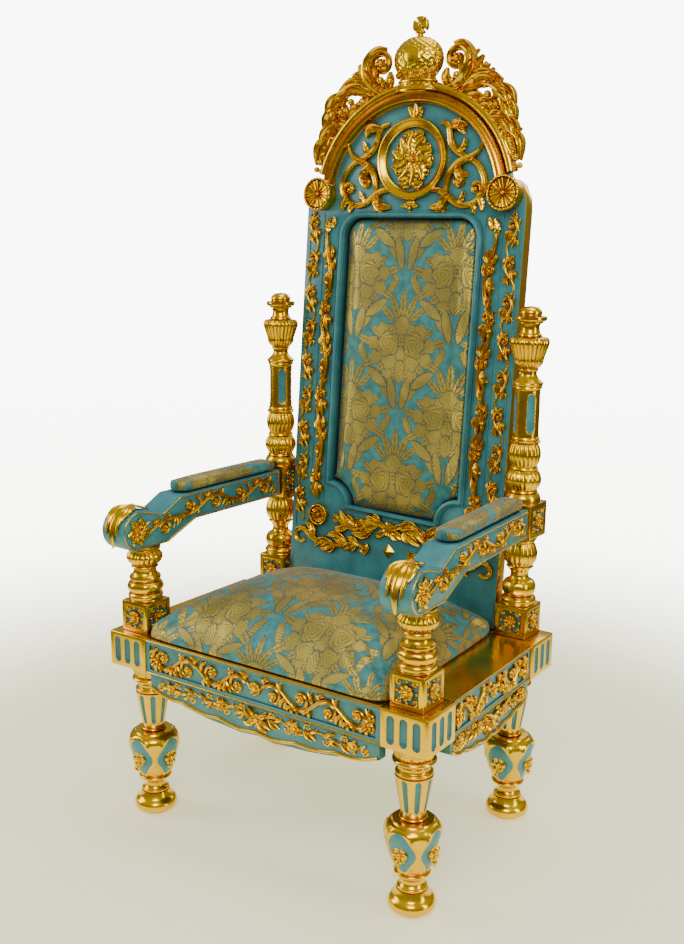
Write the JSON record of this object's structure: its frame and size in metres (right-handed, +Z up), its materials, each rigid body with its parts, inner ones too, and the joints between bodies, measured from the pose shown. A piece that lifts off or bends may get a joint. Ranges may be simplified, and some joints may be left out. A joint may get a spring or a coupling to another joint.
{
  "type": "throne",
  "caption": "Carved and gilded high-back throne with an arched, crested back, scroll arms, turned legs and brocade upholstery.",
  "frame": {"origin": "on the floor, under the middle of the throne's bounding box", "axes": "+Z up, the sitter faces -Y, +X to the right of somebody who looks at the front"},
  "size_m": [0.8, 0.6668, 1.722],
  "materials": {
    "gilding": "carved wood under burnished gold leaf, very glossy, darker orange in the hollows",
    "teal_paint": "satin teal paint on wood, with thin gilt lines",
    "brocade": "teal satin brocade woven with dull gold flower bouquets",
    "carcase_wood": "plain dark carcase wood, hidden under the cushion"
  },
  "bodies": {
    "root": {"corner_block_front_left": "gilding", "corner_block_rear_left": "gilding", "corner_block_front_right": "gilding", "corner_block_rear_right": "gilding", "leg_front_left": "gilding", "leg_rear_left": "gilding", "leg_front_right": "gilding", "leg_rear_right": "gilding", "front_post_left": "gilding", "front_post_right": "gilding", "rear_post_left": "gilding", "rear_post_right": "gilding", "arm_leaf_left": "gilding", "arm_leaf_right": "gilding", "rosette_left": "gilding", "rosette_right": "gilding", "arch_moulding": "gilding", "medallion_ring": "gilding", "medallion": "gilding", "spandrel_scroll_left": "gilding", "spandrel_scroll_right": "gilding", "medallion_crest": "gilding", "vine_strip_left": "gilding", "vine_strip_right": "gilding", "scroll_strip_left": "gilding", "scroll_strip_right": "gilding", "corner_scroll_left": "gilding", "corner_scroll_right": "gilding", "small_rosette_left": "gilding", "small_rosette_right": "gilding", "flower_swag": "gilding", "diamond_stud": "gilding", "crest": "gilding", "front_rail": "teal_paint", "back_rail": "teal_paint", "side_rail_left": "teal_paint", "side_rail_right": "teal_paint", "apron_front": "teal_paint", "apron_left": "teal_paint", "apron_right": "teal_paint", "arm_left": "teal_paint", "arm_right": "teal_paint", "back_board": "teal_paint", "panel_moulding": "teal_paint", "seat_cushion": "brocade", "back_pad": "brocade", "arm_pad_left": "brocade", "arm_pad_right": "brocade", "seat_deck": "carcase_wood"}
  },
  "joints": []
}
